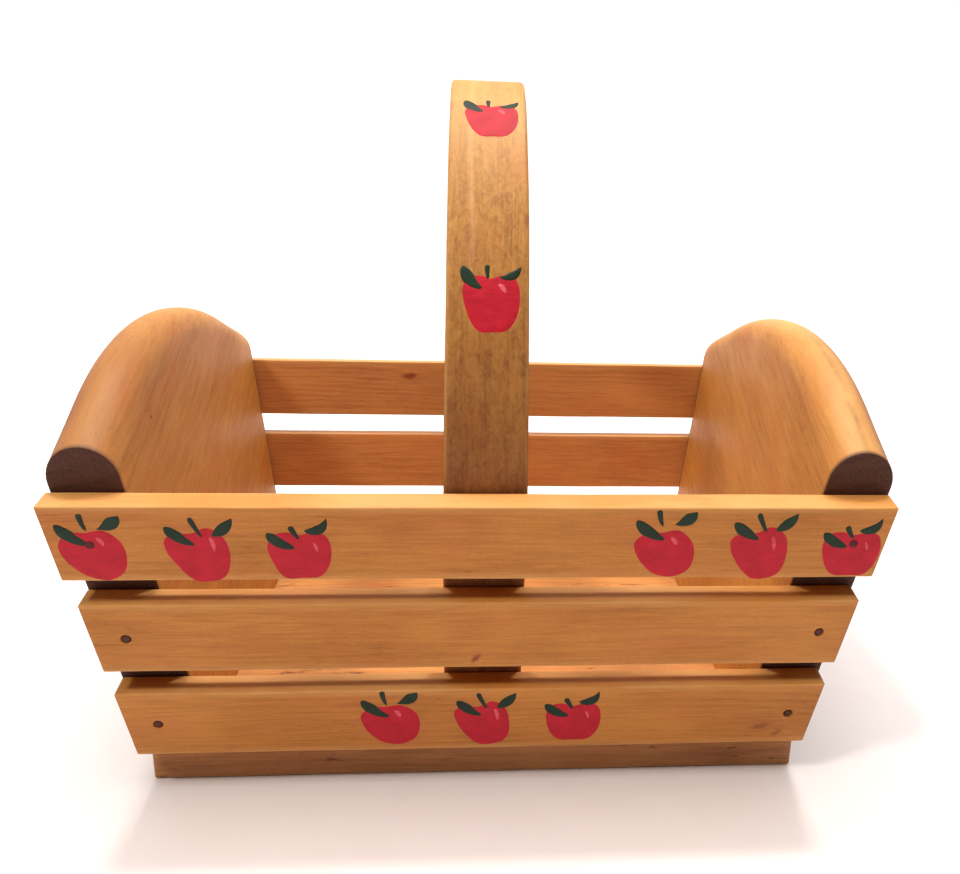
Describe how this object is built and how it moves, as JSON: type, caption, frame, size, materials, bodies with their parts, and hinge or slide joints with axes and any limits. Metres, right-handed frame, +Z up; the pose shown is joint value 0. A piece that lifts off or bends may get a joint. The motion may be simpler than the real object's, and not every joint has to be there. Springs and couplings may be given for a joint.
{
  "type": "slatted wooden basket",
  "caption": "Small slatted wooden basket with arched, leaning end boards, a solid base and a fixed bent-wood strap handle, decorated with painted apples.",
  "frame": {"origin": "centre of the base board's underside", "axes": "+X along the slats, -Y out of the painted front, +Z up"},
  "size_m": [0.2268, 0.1606, 0.2],
  "materials": {
    "stained_wood": "honey stain under a thin satin varnish",
    "base_wood": "darker stained wood, satin",
    "nail_steel": "oxidised small nails, dull",
    "apple_paint": "crimson craft paint, satin, hand brushed",
    "leaf_paint": "dark green craft paint, satin, hand brushed",
    "highlight_paint": "pink craft paint, dry brushed"
  },
  "bodies": {
    "root": {"back_bottom_left_nail": "nail_steel", "back_bottom_right_nail": "nail_steel", "back_bottom_slat": "stained_wood", "back_bottom_strap_brad": "nail_steel", "back_middle_left_nail": "nail_steel", "back_middle_right_nail": "nail_steel", "back_middle_slat": "stained_wood", "back_middle_strap_brad": "nail_steel", "back_top_left_nail": "nail_steel", "back_top_right_nail": "nail_steel", "back_top_slat": "stained_wood", "back_top_strap_brad": "nail_steel", "base_board": "base_wood", "base_left_back_nail": "nail_steel", "base_left_front_nail": "nail_steel", "base_left_middle_nail": "nail_steel", "base_right_back_nail": "nail_steel", "base_right_front_nail": "nail_steel", "base_right_middle_nail": "nail_steel", "front_bottom_left_nail": "nail_steel", "front_bottom_right_nail": "nail_steel", "front_bottom_slat": "stained_wood", "front_bottom_strap_brad": "nail_steel", "front_middle_left_nail": "nail_steel", "front_middle_right_nail": "nail_steel", "front_middle_slat": "stained_wood", "front_middle_strap_brad": "nail_steel", "front_top_left_nail": "nail_steel", "front_top_right_nail": "nail_steel", "front_top_slat": "stained_wood", "front_top_strap_brad": "nail_steel", "handle_strap": "stained_wood", "left_end_board": "stained_wood", "right_end_board": "stained_wood"}
  },
  "joints": []
}
